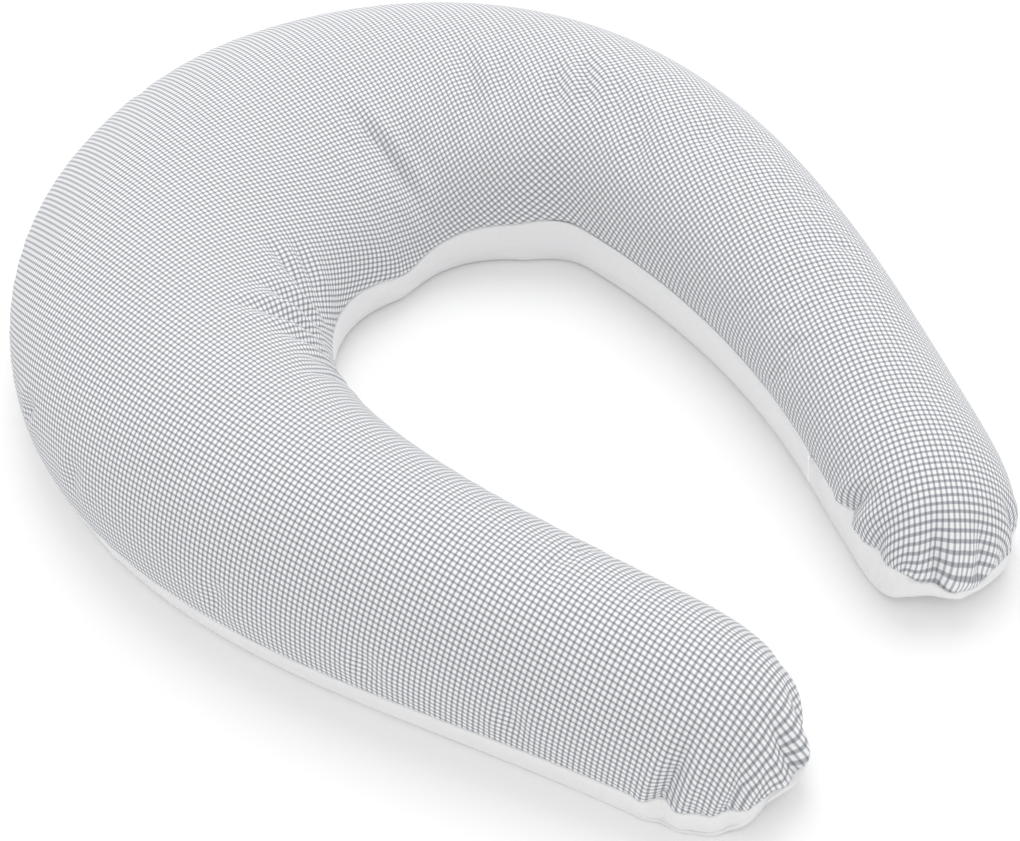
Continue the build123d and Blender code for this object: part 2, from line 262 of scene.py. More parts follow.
def meshOf(name, points, faces, uv=None):
    mesh = bpy.data.meshes.new(name)
    mesh.from_pydata([tuple(p) for p in points], [], [tuple(int(i) for i in f) for f in faces])
    if uv is not None:
        layer = mesh.uv_layers.new(name="clothLayout")
        index = np.zeros(len(mesh.loops), np.int32)
        mesh.loops.foreach_get("vertex_index", index)
        layer.data.foreach_set("uv", uv[index].astype(np.float32).ravel())
    obj = bpy.data.objects.new(name, mesh)
    scene.collection.objects.link(obj)
    return obj


def gridFaces(rows, columns, flip=False):
    i, j = np.meshgrid(np.arange(rows - 1), np.arange(columns - 1), indexing="ij")
    a = (i * columns + j).ravel()
    quads = np.stack([a, a + columns, a + columns + 1, a + 1], -1)
    return quads[:, ::-1] if flip else quads


def reachAcross(points):      # each point's distance over the cloth from the inner seam
    steps = np.linalg.norm(np.diff(points, axis=1), axis=-1)
    return np.concatenate((np.zeros((len(points), 1)), np.cumsum(steps, 1)), 1)


def cutLayout(points, cut):   # the flat piece of a panel: its line bends less than the stuffed pillow's
    heading = centreLine(rowS)[2] * cut["bend"] + cut["threads"]
    middle = (heading[1:] + heading[:-1]) / 2
    step = np.diff(rowS)
    lineX = np.concatenate(([0], np.cumsum(np.cos(middle) * step)))
    lineY = np.concatenate(([0], np.cumsum(np.sin(middle) * step)))
    reach = reachAcross(points)
    off = reach[:, -1:] / 2 - reach           # towards the mouth
    return np.stack([
        lineX[:, None] + np.sin(heading)[:, None] * off,
        lineY[:, None] - np.cos(heading)[:, None] * off,
    ], -1)


# the cloth settles under the filling's pressure, held along its seams, with its flat piece's thread lengths
def stuffed(name, points, flat, held, cloth):
    rows, columns = points.shape[:2]
    piece = meshOf(name, points.reshape(-1, 3), gridFaces(rows, columns))
    piece.shape_key_add(name="Basis")
    rest = piece.shape_key_add(name="flat")
    lying = np.zeros((rows * columns, 3), np.float32)
    lying[:, :2] = (flat * cloth["spare"]).reshape(-1, 2)
    rest.data.foreach_set("co", lying.ravel())
    rest.value = 0
    sewn = piece.vertex_groups.new(name="sewn")
    sewn.add([int(i) for i in np.flatnonzero(held.ravel())], 1.0, "REPLACE")
    modifier = piece.modifiers.new("cloth", "CLOTH")
    settings = modifier.settings
    settings.quality = cloth["quality"]
    settings.mass = cloth["mass"]
    settings.air_damping = cloth["damping"]
    settings.tension_stiffness = cloth["stretch"]
    settings.compression_stiffness = cloth["stretch"]
    settings.shear_stiffness = cloth["shear"]
    settings.bending_stiffness = cloth["bending"]
    settings.use_pressure = True
    settings.uniform_pressure_force = cloth["pressure"]
    settings.effector_weights.gravity = 0
    settings.vertex_group_mass = "sewn"
    settings.rest_shape_key = rest
    modifier.collision_settings.use_collision = False
    modifier.point_cache.frame_start = 1
    modifier.point_cache.frame_end = cloth["frames"]
    for number in range(1, cloth["frames"] + 1):
        scene.frame_set(number)
    result = piece.evaluated_get(bpy.context.evaluated_depsgraph_get()).data
    moved = np.zeros(rows * columns * 3, np.float32)
    result.vertices.foreach_get("co", moved)
    moved = moved.reshape(rows, columns, 3).astype(float)
    bpy.data.objects.remove(piece)
    scene.frame_set(1)
    step = moved - points
    size = np.linalg.norm(step, axis=-1, keepdims=True)
    print(name, "moved up to", round(float(size.max()) * 1000, 1), "mm")
    return points + step * np.minimum(1, cloth["cap"] / (size + 1e-9))


# folds and creases in the top, as (distance along the line in metres, angle over the section in degrees)
folds = [
    {"line": ((0.050, 72), (0.064, 56), (0.086, 40), (0.100, 29), (0.114, 14)), "depth": 0.0088, "width": 0.0070},
    {"line": ((0.030, 66), (0.050, 44), (0.074, 26)), "depth": 0.0042, "width": 0.0090},
    {"line": ((0.112, 60), (0.128, 38), (0.140, 20)), "depth": 0.0036, "width": 0.0100},
    {"line": ((0.180, 86), (0.212, 60), (0.222, 40)), "depth": 0.0055, "width": 0.0085},
    {"line": ((0.236, 80), (0.252, 52)), "depth": 0.0034, "width": 0.0090},
    {"line": ((0.286, 80), (0.318, 52)), "depth": 0.0056, "width": 0.0075},
    {"line": ((0.300, 88), (0.326, 72), (0.351, 54)), "depth": 0.0062, "width": 0.0075},
    {"line": ((0.340, 84), (0.372, 62), (0.392, 48)), "depth": 0.0036, "width": 0.0085},
    {"line": ((0.375, 78), (0.405, 60), (0.436, 40)), "depth": 0.0046, "width": 0.0095},
    {"line": ((0.440, 92), (0.470, 72)), "depth": 0.0034, "width": 0.0100},
    {"line": ((-0.278, 6), (-0.250, 28), (-0.185, 54)), "depth": 0.0062, "width": 0.0070},
    {"line": ((-0.262, 6), (-0.226, 26), (-0.160, 46)), "depth": 0.0050, "width": 0.0075},
    {"line": ((-0.319, 5), (-0.318, 35), (-0.300, 70)), "depth": 0.0056, "width": 0.0070},
    {"line": ((-0.298, 5), (-0.288, 30), (-0.262, 58)), "depth": 0.0046, "width": 0.0070},
    {"line": ((-0.340, 5), (-0.346, 30), (-0.345, 56)), "depth": 0.0044, "width": 0.0070},
    {"line": ((-0.362, 5), (-0.374, 30), (-0.388, 52)), "depth": 0.0042, "width": 0.0075},
    {"line": ((-0.397, 7), (-0.402, 34), (-0.406, 60)), "depth": 0.0034, "width": 0.0080},
    {"line": ((-0.262, 172), (-0.276, 156)), "depth": 0.0055, "width": 0.0070},
    {"line": ((-0.330, 172), (-0.336, 152)), "depth": 0.0030, "width": 0.0080},
    {"line": ((-0.460, 174), (-0.466, 158)), "depth": 0.0030, "width": 0.0090},
    {"line": ((-0.580, 174), (-0.574, 156)), "depth": 0.0028, "width": 0.0090},
    {"line": ((-0.690, 174), (-0.682, 152)), "depth": 0.0034, "width": 0.0090},
]

# gathers where the tips are sewn round: each line starts at the seam
tucks = [
    {"line": ((-0.795, 178), (-0.806, 152), (-0.812, 126)), "depth": 0.0085, "width": 0.0070},
    {"line": ((-0.846, 178), (-0.850, 156), (-0.842, 128)), "depth": 0.0050, "width": 0.0065},
    {"line": ((-0.871, 120), (-0.860, 112), (-0.846, 104)), "depth": 0.0065, "width": 0.0065},
    {"line": ((-0.871, 62), (-0.860, 66), (-0.848, 70)), "depth": 0.0040, "width": 0.0065},
    {"line": ((-0.850, 2), (-0.842, 26), (-0.834, 42)), "depth": 0.0045, "width": 0.0065},
    {"line": ((0.795, 2), (0.804, 26), (0.812, 46)), "depth": 0.0070, "width": 0.0070},
    {"line": ((0.838, 2), (0.838, 28), (0.834, 48)), "depth": 0.0045, "width": 0.0065},
    {"line": ((0.869, 70), (0.856, 80), (0.836, 90)), "depth": 0.0075, "width": 0.0070},
    {"line": ((0.866, 130), (0.854, 122), (0.842, 116)), "depth": 0.0045, "width": 0.0065},
    {"line": ((0.838, 178), (0.836, 156), (0.828, 140)), "depth": 0.0050, "width": 0.0065},
]


crease = {
    "sharpness": 1.25,        # of the valley
    "swell": 0.42, "swellAt": 2.0, "swellWidth": 0.9,   # beside it, against its depth and width
    "endFade": 0.35, "seamFade": 0.6,         # share of its length over which it fades out
    "reach": 3,               # widths over which it dies away sideways
}


def toLine(points, line):     # distance from points to a bent line, and the place along it from 0 to 1
    best = np.full(points.shape[:-1], 1e9)
    place = np.zeros(points.shape[:-1])
    lengths = [np.linalg.norm(b - a) for a, b in zip(line[:-1], line[1:])]
    before = 0.0
    for a, b, length in zip(line[:-1], line[1:], lengths):
        t = np.clip(((points - a) @ (b - a)) / length ** 2, 0, 1)
        d = np.linalg.norm(points - a - t[..., None] * (b - a), axis=-1)
        closer = d < best
        best = np.where(closer, d, best)
        place = np.where(closer, (before + t * length) / sum(lengths), place)
        before += length
    return best, place


def lineOnTop(line):          # a line of section places on the plain top, as points
    count = 8
    s = np.array([p[0] for p in line])
    phi = np.radians([p[1] for p in line])
    corners = np.arange(len(line))
    t = np.linspace(0, len(line) - 1, count * (len(line) - 1) + 1)
    s, phi = np.interp(t, corners, s), np.interp(t, corners, phi)
    sec = sections(s)
    points = []
    for i in range(len(s)):
        here = {key: value[i:i + 1] for key, value in sec.items()}
        points.append(topPoints(here, phi[i:i + 1])[0, 0])
    return np.array(points)


def pressed(points, lines, fromSeam):            # creases: a sharp valley with a soft swell on each side
    out = normalsOf(points)
    shift = np.zeros(points.shape[:-1])
    for fold in lines:
        distance, place = toLine(points, lineOnTop(fold["line"]))
        near = distance / fold["width"]
        if fromSeam:
            fade = np.minimum(1, (1 - place) / crease["seamFade"])
        else:
            fade = np.minimum(1, np.minimum(place, 1 - place) / crease["endFade"])
        fade = np.where(place > 0, fade, 1 if fromSeam else 0)
        fade = fade * np.exp(-(distance / (crease["reach"] * fold["width"])) ** 4)
        swell = np.exp(-((near - crease["swellAt"]) / crease["swellWidth"]) ** 2)
        shape = -np.exp(-near ** crease["sharpness"]) + crease["swell"] * swell
        shift += fold["depth"] * fade * shape
    return points + out * shift[..., None]


print("the pillow's own grid")
rowS = rowPlaces()
columnPhi = columnPlaces()
measures = sections(rowS)
topGrid = topPoints(measures, columnPhi)
bottomGrid = bottomPoints(measures, columnPhi)
edge = np.zeros(topGrid.shape[:2], bool)
edge[[0, -1], :] = True
edge[:, [0, -1]] = True

# bend: share of the pillow's bend that is cut into the flat piece; threads: which way its checks run;
# cap: how far any point of the cloth may move
topCloth = {
    "bend": 0.80, "threads": math.radians(9), "spare": 1.015, "quality": 6, "mass": 0.02, "damping": 2.0,
    "stretch": 15, "shear": 5, "bending": 0.05, "pressure": 12.0, "frames": 24, "cap": 0.0045,
}
bottomCloth = {
    "bend": 0.80, "threads": 0.0, "spare": 1.015, "quality": 5, "mass": 0.02, "damping": 2.0,
    "stretch": 15, "shear": 5, "bending": 0.1, "pressure": 8.0, "frames": 14, "cap": 0.0035,
}
liesBelow = 0.004             # cloth this near the floor lies on it and stays put

print("the flat pieces")
topFlat = cutLayout(topGrid, topCloth)
bottomFlat = cutLayout(bottomGrid, bottomCloth)
print("stuffing")
topGrid = stuffed("topSwelling", topGrid, topFlat, edge, topCloth)
onFloor = bottomGrid[..., 2] < liesBelow
bottomGrid = stuffed("bottomSwelling", bottomGrid, bottomFlat, edge | onFloor, bottomCloth)
bottomGrid[..., 2] = np.maximum(bottomGrid[..., 2], 0)


seamEdge = {
    "follow": 0.022,          # how far from the seam the underside still moves with it
    "turnIn": (0, 0.0008, 0.0017),            # the two rows of the turned edge, behind the seam
    "turnDrop": (0, 0.35, 0.45),              # and how far they close the gap, as a share of it
    "gap": 0.0004,            # half the gap between the panels, away from the zip
    "groove": 0.0012,         # how far the seam is drawn in
    "zipGroove": 0.0002,
}
clothThickness = 0.0007


def followed(points, moved):  # the underside takes up the seam's own movement, less and less away from it
    across = reachAcross(points)
    fromInner, fromOuter = across, across[:, -1:] - across
    along = np.abs(fineS[:, None] - fineS[[0, -1]][None, :])
    reach = seamEdge["follow"]
    shift = moved[:, :1] * np.exp(-(fromInner / reach) ** 1.5)[..., None]
    shift = shift + moved[:, -1:] * np.exp(-(fromOuter / reach) ** 1.5)[..., None]
    for end, column in ((0, 0), (-1, 1)):
        share = np.exp(-(along[:, column:column + 1] / reach) ** 1.5)
        shift = shift + moved[end][None] * share[..., None]
    result = points + shift
    result[..., 2] = np.maximum(result[..., 2], 0)
    return result


def folded(points, sec):      # the pressed fold in the underside panel where the zip's tape is sewn on
    across = reachAcross(points)
    line, width, share = zipper["stitchLine"], zipper["foldWidth"], sec["zip"][:, None]
    dip = np.exp(-((across - line) / width) ** 2) * share
    swell = zipper["foldSwell"] * np.exp(-((across - line / 2) / width) ** 2) * share
    return points + normalsOf(points) * (zipper["foldDepth"] * (dip - swell))[..., None]


def inwards(sec):             # level directions from every point of the grid's edge into the pillow
    rows, columns = len(sec["side"]), 2 * pillow["columns"] + 1
    side = np.repeat(sec["side"][:, None, :], columns, 1)
    along = np.stack([-side[..., 1], side[..., 0]], -1)
    way = np.zeros((rows, columns, 2))
    way[:, 0] -= side[:, 0]
    way[:, -1] += side[:, -1]
    way[0] += along[0]
    way[-1] -= along[-1]
    way /= np.linalg.norm(way, axis=-1, keepdims=True) + 1e-9
    return np.concatenate([way, np.zeros((rows, columns, 1))], -1)


def ringed(grid, flat, sec, lift):               # the panel with its edge turned in along the seam
    way = inwards(sec)
    rows, columns = grid.shape[:2]
    row, column = np.arange(-2, rows + 2), np.arange(-2, columns + 2)
    i, j = np.clip(row, 0, rows - 1), np.clip(column, 0, columns - 1)
    pastRows = np.maximum(0, np.maximum(-row, row - rows + 1))
    pastColumns = np.maximum(0, np.maximum(-column, column - columns + 1))
    depth = np.maximum(pastRows[:, None], pastColumns[None, :])
    turnedIn = np.array(seamEdge["turnIn"])[depth]
    dropped = np.array(seamEdge["turnDrop"])[depth]
    pulled = grid.copy()
    groove = np.where(sec["zip"][:, None] > 0.5, seamEdge["zipGroove"], seamEdge["groove"])
    edgeHere = np.zeros((rows, columns), bool)
    edgeHere[[0, -1], :] = True
    edgeHere[:, [0, -1]] = True
    pulled += way * (groove * edgeHere)[..., None]
    gap = seamEdge["gap"]
    apart = gap * edgeHere
    apart[:, 0] = gap + (zipper["gap"] - gap) * sec["zip"]
    pulled[..., 2] += lift * apart
    bigger = pulled[i][:, j] + way[i][:, j] * turnedIn[..., None]
    bigger[..., 2] -= lift * dropped * gap
    return bigger, flat[i][:, j]


def merged(obj):              # rows that meet become one
    b = bmesh.new()
    b.from_mesh(obj.data)
    bmesh.ops.remove_doubles(b, verts=b.verts, dist=1e-6)
    bmesh.ops.dissolve_degenerate(b, edges=b.edges, dist=1e-7)
    b.to_mesh(obj.data)
    b.free()
    obj.data.shade_smooth()


def finished(obj):            # the mesh as its modifiers leave it, plain
    mesh = bpy.data.meshes.new_from_object(obj.evaluated_get(bpy.context.evaluated_depsgraph_get()))
    obj.modifiers.clear()
    old = obj.data
    obj.data = mesh
    bpy.data.meshes.remove(old)
    mesh.name = obj.name


def panel(name, grid, flat, flip):               # cloth with its thickness inside the given surface
    rows, columns = grid.shape[:2]
    obj = meshOf(name, grid.reshape(-1, 3), gridFaces(rows, columns, flip), flat.reshape(-1, 2))
    merged(obj)
    thick = obj.modifiers.new("thickness", "SOLIDIFY")
    thick.thickness = clothThickness
    thick.offset = -1
    finished(obj)
    return obj


print("panels")
fineS = finer(np.stack([rowS, rowS], -1)[:, :, None])[:, 0, 0]
fineSec = sections(fineS)
topFine, topFlatFine = finer(topGrid), finer(topFlat)
bottomFine, bottomFlatFine = finer(bottomGrid), finer(bottomFlat)
plainTop = topFine.copy()
topFine = pressed(topFine, folds, False)
topFine = pressed(topFine, tucks, True)
bottomFine = followed(bottomFine, topFine - plainTop)
bottomFine = folded(bottomFine, fineSec)
bottomFine[[0, -1]] = topFine[[0, -1]]
bottomFine[:, [0, -1]] = topFine[:, [0, -1]]
topSkin, topSkinFlat = ringed(topFine, topFlatFine, fineSec, 1)
bottomSkin, bottomSkinFlat = ringed(bottomFine, bottomFlatFine, fineSec, -1)
coverTop = panel("coverTop", topSkin, topSkinFlat, False)
coverBottom = panel("coverBottom", bottomSkin, bottomSkinFlat, True)


# the inner casing and the filling, in metres inside the cover
casing = {
    "inset": 0.0036, "threadInset": 0.0016,
    "leftOpen": 0.085,        # half the length left open for filling and then sewn shut
    "zipRoom": 0.004, "zipReach": 0.020,      # extra room behind the zip, and how far below it that goes
    "seamReach": 0.008,       # over which the inset turns from square to the cloth to level
}
filling = {"inset": 0.0062}


def inside(points, outward, inset):              # a layer inside the cover that follows its creases
    reach = reachAcross(points)
    toTips = np.abs(fineS[:, None] - fineS[[0, -1]][None, :])
    near = casing["seamReach"]
    inner, outer = np.exp(-(reach / near) ** 2), np.exp(-((reach[:, -1:] - reach) / near) ** 2)
    side = np.concatenate([fineSec["side"], 0 * fineS[:, None]], -1)[:, None, :]
    along = np.stack([-side[..., 1], side[..., 0], 0 * side[..., 0]], -1)
    direction = -normalsOf(points) * outward * (1 - inner - outer)[..., None]
    direction = direction + side * (outer - inner)[..., None]
    for end, way in ((0, 1), (1, -1)):
        tip = np.exp(-(toTips[:, end] / near) ** 2)[:, None, None]
        direction = direction * (1 - tip) + along * way * tip
    room = casing["zipRoom"] * fineSec["zip"][:, None] * np.exp(-(reach / casing["zipReach"]) ** 2)
    return (points + direction * (inset + room)[..., None])[::2, ::2]


def layer(inset):             # the top and bottom grids of a layer, joined along the seam
    top, bottom = inside(topFine, 1, inset), inside(bottomFine, -1, inset)
    bottom[[0, -1]] = top[[0, -1]]
    bottom[:, [0, -1]] = top[:, [0, -1]]
    return top, bottom


def closedPiece(name, top, bottom):              # one skin round both grids
    rows, columns = top.shape[:2]
    faces = np.concatenate([gridFaces(rows, columns), gridFaces(rows, columns, True) + rows * columns])
    obj = meshOf(name, np.concatenate([top.reshape(-1, 3), bottom.reshape(-1, 3)]), faces)
    merged(obj)
    return obj


print("casing and filling")
casingTopGrid, casingBottomGrid = layer(casing["inset"])
casingTop = panel("casingTop", casingTopGrid, casingTopGrid[..., :2], False)
casingBottom = panel("casingBottom", casingBottomGrid, casingBottomGrid[..., :2], True)
stuffing = closedPiece("fibreFilling", *layer(filling["inset"]))


def partsTree():              # parts set along a path, at even spacing, lying along it
    tree = bpy.data.node_groups.new("partsAlongPath", "GeometryNodeTree")
    tree.is_modifier = True
    face = tree.interface
    face.new_socket("Path", in_out="INPUT", socket_type="NodeSocketGeometry")
    for name, kind in (("Spacing", "Float"), ("Size", "Vector"), ("Unevenness", "Float"),
                       ("Seed", "Int"), ("Material", "Material")):
        face.new_socket(name, in_out="INPUT", socket_type="NodeSocket" + kind)
    face.new_socket("Parts", in_out="OUTPUT", socket_type="NodeSocketGeometry")
    start, end = node(tree, "NodeGroupInput"), node(tree, "NodeGroupOutput")
    curve = node(tree, "GeometryNodeMeshToCurve")
    places = node(tree, "GeometryNodeResampleCurve", mode="LENGTH")
    bead = node(tree, "GeometryNodeMeshUVSphere", {"Segments": 10, "Rings": 6, "Radius": 0.5})
    spread = node(tree, "GeometryNodeInstanceOnPoints")
    tangent = node(tree, "GeometryNodeInputTangent")
    lengthwise = node(tree, "FunctionNodeAlignRotationToVector", axis="X")
    upright = node(tree, "FunctionNodeAlignRotationToVector", {"Vector": (0, 0, 1)}, axis="Z",
                   pivot_axis="X")
    vary = node(tree, "FunctionNodeRandomValue", data_type="FLOAT")
    sized = node(tree, "ShaderNodeVectorMath", operation="SCALE")
    real = node(tree, "GeometryNodeRealizeInstances")
    soft = node(tree, "GeometryNodeSetShadeSmooth")
    coat = node(tree, "GeometryNodeSetMaterial")
    least = node(tree, "ShaderNodeMath", {0: 1.0}, operation="SUBTRACT")
    most = node(tree, "ShaderNodeMath", {0: 1.0}, operation="ADD")
    for a, b in (
        (start.outputs["Path"], curve.inputs["Mesh"]), (curve.outputs["Curve"], places.inputs["Curve"]),
        (start.outputs["Spacing"], places.inputs["Length"]), (places.outputs["Curve"], spread.inputs["Points"]),
        (bead.outputs["Mesh"], spread.inputs["Instance"]), (tangent.outputs[0], lengthwise.inputs["Vector"]),
        (lengthwise.outputs[0], upright.inputs["Rotation"]), (upright.outputs[0], spread.inputs["Rotation"]),
        (start.outputs["Unevenness"], least.inputs[1]), (start.outputs["Unevenness"], most.inputs[1]),
        (least.outputs[0], vary.inputs[2]), (most.outputs[0], vary.inputs[3]),
        (start.outputs["Seed"], vary.inputs["Seed"]),
        (start.outputs["Size"], sized.inputs[0]), (vary.outputs[1], sized.inputs["Scale"]),
        (sized.outputs[0], spread.inputs["Scale"]), (spread.outputs[0], real.inputs[0]),
        (real.outputs[0], soft.inputs[0]), (soft.outputs[0], coat.inputs["Geometry"]),
        (start.outputs["Material"], coat.inputs["Material"]), (coat.outputs[0], end.inputs["Parts"]),
    ):
        tree.links.new(a, b)
    return tree


def alongPaths(name, paths, look, material):     # one plain mesh of parts along one or more paths
    points, edges = [], []
    for path in paths:
        first = len(points)
        points += [tuple(p) for p in path]
        edges += [(first + i, first + i + 1) for i in range(len(path) - 1)]
    mesh = bpy.data.meshes.new(name)
    mesh.from_pydata(points, edges, [])
    obj = bpy.data.objects.new(name, mesh)
    scene.collection.objects.link(obj)
    modifier = obj.modifiers.new("parts", "NODES")
    modifier.node_group = partsAlongPath
    inputs = {item.name: item.identifier for item in partsAlongPath.interface.items_tree
              if item.in_out == "INPUT"}
    for setting in ("Spacing", "Size", "Unevenness", "Seed"):
        modifier[inputs[setting]] = look[setting.lower()]
    modifier[inputs["Material"]] = material
    obj.update_tag()
    bpy.context.view_layer.update()
    finished(obj)
    return obj


def seamRing(top, inset, start, end):            # just inside the seam, from row start round to row end
    way = inwards(fineSec)
    route = top + way * inset
    inner, outer = route[:, 0], route[:, -1]
    left, right = route[0], route[-1]
    ring = np.concatenate([inner[start:], right[1:-1], outer[::-1], left[-2:0:-1], inner[:end]])
    shortestStep = 0.0015
    keep = [0]
    for i in range(1, len(ring)):
        if np.linalg.norm(ring[i] - ring[keep[-1]]) > shortestStep:
            keep.append(i)
    return ring[keep]


def zipPath(depth, lift, degrees):               # along the zip, behind its line and above its middle
    count = 240
    angle = np.radians(np.linspace(*degrees, count))
    reach = zipper["radius"] + depth
    return np.stack([
        zipper["centre"][0] + reach * np.cos(angle),
        zipper["centre"][1] + reach * np.sin(angle),
        np.full(count, zipper["height"] + lift),
    ], -1)


# materials
clothFinish = {
    "slubScale": 260.0,       # thick and thin places, per metre
    "slubTone": 0.22,         # how much they show
    "patchScale": 9.0,        # broad uneven patches, per metre
    "patchTone": 0.05,
    "relief": 0.00012,
}


def weaveGroup():             # plain weave: its height, and the thick and thin places in its thread
    tree = bpy.data.node_groups.new("plainWeave", "ShaderNodeTree")
    tree.interface.new_socket("Place", in_out="INPUT", socket_type="NodeSocketVector")
    tree.interface.new_socket("Threads per metre", in_out="INPUT", socket_type="NodeSocketFloat")
    tree.interface.new_socket("Uneven", in_out="INPUT", socket_type="NodeSocketFloat")
    tree.interface.new_socket("Height", in_out="OUTPUT", socket_type="NodeSocketFloat")
    tree.interface.new_socket("Slub", in_out="OUTPUT", socket_type="NodeSocketFloat")
    start, end = node(tree, "NodeGroupInput"), node(tree, "NodeGroupOutput")
    split = node(tree, "ShaderNodeSeparateXYZ")
    tree.links.new(start.outputs["Place"], split.inputs[0])
    waves = []
    for axis in ("X", "Y"):
        turned = maths(tree, "MULTIPLY", split.outputs[axis], start.outputs["Threads per metre"])
        waves.append(maths(tree, "SINE", maths(tree, "MULTIPLY", turned, math.pi)))
    weave = maths(tree, "MULTIPLY", waves[0], waves[1])
    noise = node(tree, "ShaderNodeTexNoise", {"Scale": clothFinish["slubScale"], "Detail": 2.0})
    tree.links.new(start.outputs["Place"], noise.inputs["Vector"])
    thick = maths(tree, "SUBTRACT", noise.outputs["Fac"], 0.5)
    slub = maths(tree, "MULTIPLY", thick, start.outputs["Uneven"])
    height = maths(tree, "ADD", maths(tree, "MULTIPLY", weave, 0.5), slub)
    tree.links.new(height, end.inputs["Height"])
    tree.links.new(slub, end.inputs["Slub"])
    return tree


weave = weaveGroup()


def clothPlace(tree, useLayout):                 # on the flat piece, or else in the room
    if useLayout:
        return node(tree, "ShaderNodeUVMap", uv_map="clothLayout").outputs["UV"]
    return node(tree, "ShaderNodeTexCoord").outputs["Object"]


def clothMaterial(name, look, useLayout=True, colour=None):
    material, tree = nodeTree(name)
    place = clothPlace(tree, useLayout)
    group = node(tree, "ShaderNodeGroup", node_tree=weave)
    group.inputs["Threads per metre"].default_value = look["threads"]
    group.inputs["Uneven"].default_value = look["uneven"]
    tree.links.new(place, group.inputs["Place"])
    shader = node(tree, "ShaderNodeBsdfPrincipled", {
        "Roughness": look["rough"], "Sheen Weight": look["sheen"], "Sheen Roughness": 0.5,
        "Specular IOR Level": look["specular"],
    })
    patches = node(tree, "ShaderNodeTexNoise", {"Scale": clothFinish["patchScale"], "Detail": 3.0})
    tree.links.new(place, patches.inputs["Vector"])
    patch = maths(tree, "SUBTRACT", patches.outputs["Fac"], 0.5)
    tone = maths(tree, "ADD", maths(tree, "MULTIPLY", patch, clothFinish["patchTone"]), 1.0)
    slubs = maths(tree, "MULTIPLY", group.outputs["Slub"], clothFinish["slubTone"])
    tone = maths(tree, "ADD", tone, slubs)
    tint = node(tree, "ShaderNodeMix", data_type="RGBA", blend_type="MULTIPLY")
    tint.inputs["Factor"].default_value = 1.0
    grey = node(tree, "ShaderNodeCombineColor")
    for channel in ("Red", "Green", "Blue"):
        tree.links.new(tone, grey.inputs[channel])
    if colour is None:
        tint.inputs["A"].default_value = (*look["colour"], 1)
    else:
        tree.links.new(colour(tree, place), tint.inputs["A"])
    tree.links.new(grey.outputs[0], tint.inputs["B"])
    tree.links.new(tint.outputs["Result"], shader.inputs["Base Color"])
    bump = node(tree, "ShaderNodeBump", {"Strength": look["bump"], "Distance": clothFinish["relief"]})
    tree.links.new(group.outputs["Height"], bump.inputs["Height"])
    tree.links.new(bump.outputs["Normal"], shader.inputs["Normal"])
    out = node(tree, "ShaderNodeOutputMaterial")
    tree.links.new(shader.outputs[0], out.inputs["Surface"])
    return material


gingham = {
    "repeat": 0.0042,         # of the check, in metres
    "stripe": 0.40,           # share of it that is coloured
    "soften": 0.12,
    "white": (0.90, 0.90, 0.91), "half": (0.455, 0.465, 0.49), "dark": (0.235, 0.25, 0.28),
    "threads": 2500, "uneven": 0.35, "rough": 0.85, "sheen": 0.12, "specular": 0.2, "bump": 0.5,
}
whiteCotton = {
    "colour": (0.86, 0.86, 0.865), "threads": 2600, "uneven": 0.3, "rough": 0.88, "sheen": 0.12,
    "specular": 0.2, "bump": 0.45,
}


def ginghamColour(tree, place):                  # white, one stripe, or two stripes crossing
    split = node(tree, "ShaderNodeSeparateXYZ")
    tree.links.new(place, split.inputs[0])
    stripes = []
    for axis in ("X", "Y"):
        turned = maths(tree, "MULTIPLY", split.outputs[axis], 2 * math.pi / gingham["repeat"])
        wave = maths(tree, "SINE", turned)
        over = maths(tree, "SUBTRACT", wave, math.cos(math.pi * gingham["stripe"]))
        sharp = maths(tree, "DIVIDE", over, 2 * math.pi * gingham["soften"])
        stripes.append(maths(tree, "ADD", sharp, 0.5, clamp=True))
    both = maths(tree, "MULTIPLY", stripes[0], stripes[1])
    either = maths(tree, "SUBTRACT", maths(tree, "ADD", stripes[0], stripes[1]), both)
    first = node(tree, "ShaderNodeMix", data_type="RGBA")
    first.inputs["A"].default_value = (*gingham["white"], 1)
    first.inputs["B"].default_value = (*gingham["half"], 1)
    tree.links.new(either, first.inputs["Factor"])
    second = node(tree, "ShaderNodeMix", data_type="RGBA")
    second.inputs["B"].default_value = (*gingham["dark"], 1)
    tree.links.new(first.outputs["Result"], second.inputs["A"])
    tree.links.new(both, second.inputs["Factor"])
    return second.outputs["Result"]


def dress(obj, material):
    obj.data.materials.clear()
    obj.data.materials.append(material)


def unevenGroup():            # a tone near white and a mask near one half, both slightly uneven
    tree = bpy.data.node_groups.new("unevenFinish", "ShaderNodeTree")
    tree.interface.new_socket("Place", in_out="INPUT", socket_type="NodeSocketVector")
    tree.interface.new_socket("Scale", in_out="INPUT", socket_type="NodeSocketFloat")
    tree.interface.new_socket("Amount", in_out="INPUT", socket_type="NodeSocketFloat")
    tree.interface.new_socket("Tone", in_out="OUTPUT", socket_type="NodeSocketColor")
    tree.interface.new_socket("Mask", in_out="OUTPUT", socket_type="NodeSocketFloat")
    start, end = node(tree, "NodeGroupInput"), node(tree, "NodeGroupOutput")
    noise = node(tree, "ShaderNodeTexNoise", {"Detail": 3.0})
    tree.links.new(start.outputs["Place"], noise.inputs["Vector"])
    tree.links.new(start.outputs["Scale"], noise.inputs["Scale"])
    spread = maths(tree, "SUBTRACT", noise.outputs["Fac"], 0.5)
    mask = maths(tree, "ADD", maths(tree, "MULTIPLY", spread, start.outputs["Amount"]), 0.5)
    tone = node(tree, "ShaderNodeCombineColor")
    bright = maths(tree, "ADD", mask, 0.5)
    for channel in ("Red", "Green", "Blue"):
        tree.links.new(bright, tone.inputs[channel])
    tree.links.new(tone.outputs[0], end.inputs["Tone"])
    tree.links.new(mask, end.inputs["Mask"])
    return tree


unevenFinish = unevenGroup()


